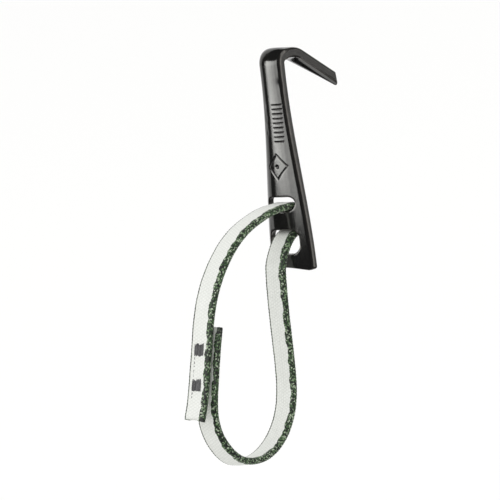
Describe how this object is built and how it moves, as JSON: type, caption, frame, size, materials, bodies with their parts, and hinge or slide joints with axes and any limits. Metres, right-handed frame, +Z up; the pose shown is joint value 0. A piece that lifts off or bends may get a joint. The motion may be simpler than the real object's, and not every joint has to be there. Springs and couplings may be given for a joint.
{
  "type": "climbing hook",
  "caption": "Pointed steel hook for direct-aid climbing, its flared shank slotted for a short sewn sling of flat webbing that swings on the bar between the slots.",
  "frame": {"origin": "on the flat underside of the arm, four millimetres behind the point's lower edge, in the middle of its width", "axes": "+Z up the shank from its foot to the bend, +X the way the point reaches, Y across the hook's width"},
  "size_m": [0.1077, 0.02, 0.1517],
  "materials": {
    "blackened_steel": "blackened and burnished, semi-gloss",
    "white_webbing": "woven, matte, with a speckled dark green selvage",
    "grey_thread": "dense satin stitches, matte"
  },
  "bodies": {
    "hook": {"hook_body": "blackened_steel", "sling_bight": "white_webbing"},
    "sling": {"sling_upper_limb": "white_webbing", "sling_lower_limb": "white_webbing", "bar_tack_upper": "grey_thread", "bar_tack_lower": "grey_thread"}
  },
  "joints": [
    {"name": "sling_swing", "type": "hinge", "parent": "hook", "child": "sling", "pos_m": [-0.03898, 0, -0.04811], "axis": [0, 1, 0], "range_deg": [0, 60]}
  ]
}
